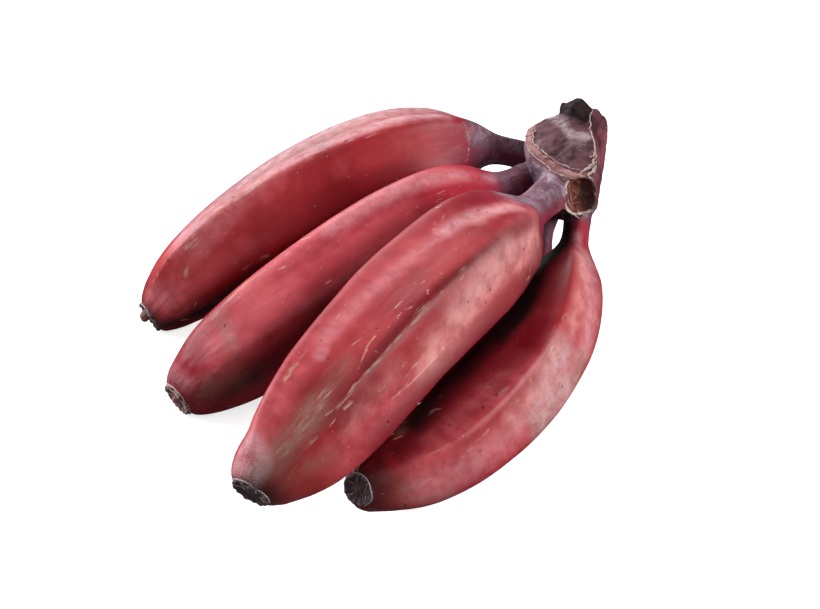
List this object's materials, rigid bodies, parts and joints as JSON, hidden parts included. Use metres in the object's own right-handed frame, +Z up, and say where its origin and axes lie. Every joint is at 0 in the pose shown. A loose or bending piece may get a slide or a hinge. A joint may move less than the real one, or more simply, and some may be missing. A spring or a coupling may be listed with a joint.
{
  "type": "hand of red bananas",
  "caption": "Hand of plump red bananas grown together on one woody crown, lying convex side up on its bellies and finger tips.",
  "frame": {"origin": "centre of the bounding box, on the surface that the hand lies on", "axes": "+Z up from the surface, +Y from the finger tips towards the crown, +X towards the lowest outer finger"},
  "size_m": [0.1634, 0.2272, 0.0754],
  "materials": {
    "crown_skin": "dry mauve-grey crown skin, matte and a little fibrous",
    "red_peel": "smooth waxy crimson peel, semi-matte, with pale scurf",
    "dried_end": "dried, dark brown and matte"
  },
  "bodies": {
    "root": {"crown": "crown_skin", "finger_1": "red_peel", "finger_2": "red_peel", "finger_3": "red_peel", "finger_4": "red_peel", "finger_5": "red_peel", "blossom_end_1": "dried_end", "blossom_end_2": "dried_end", "blossom_end_3": "dried_end", "blossom_end_4": "dried_end", "blossom_end_5": "dried_end"}
  },
  "joints": []
}
